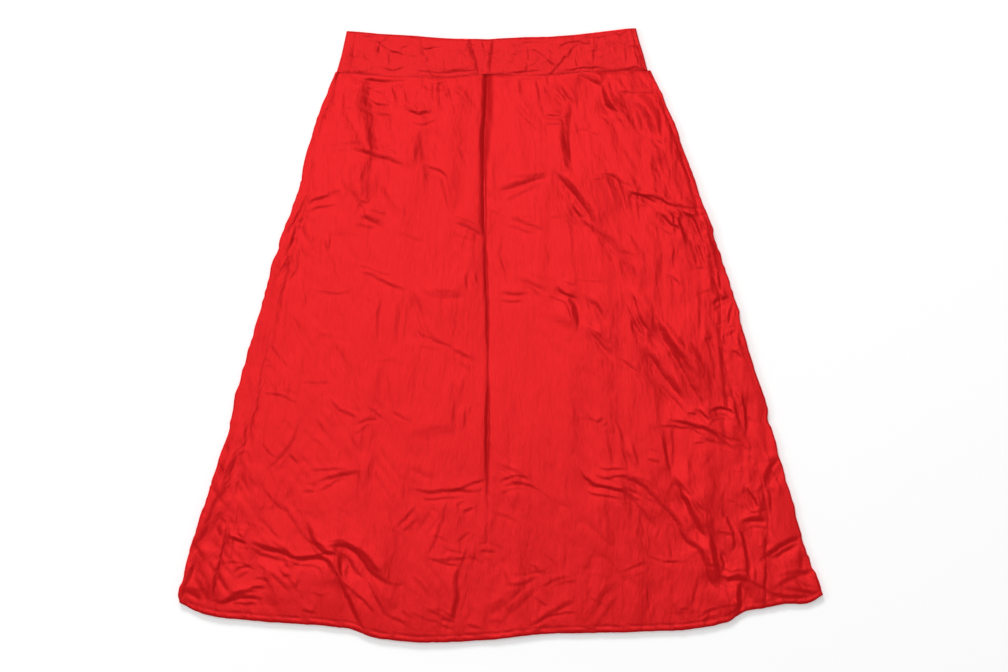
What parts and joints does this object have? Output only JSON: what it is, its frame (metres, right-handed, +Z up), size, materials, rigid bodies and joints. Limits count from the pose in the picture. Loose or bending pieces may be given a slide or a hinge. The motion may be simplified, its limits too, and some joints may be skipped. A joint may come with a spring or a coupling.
{
  "type": "a-line skirt",
  "caption": "Red satin a-line skirt laid flat, with a straight waistband, a centre-front seam and a narrow stitched hem.",
  "frame": {"origin": "middle of the outline's box, on the surface that the skirt rests on", "axes": "+X to the right of the front as it is looked at, +Y towards the waist, +Z up out of the front"},
  "size_m": [0.8, 0.7621, 0.0109],
  "materials": {
    "red_satin": "soft satin, one layer",
    "band_satin": "soft satin, doubled over a light stiffener"
  },
  "bodies": {
    "root": {"back_panel": "red_satin", "front_left_panel": "red_satin", "front_right_panel": "red_satin", "waistband_front": "band_satin", "waistband_back": "band_satin"}
  },
  "joints": []
}
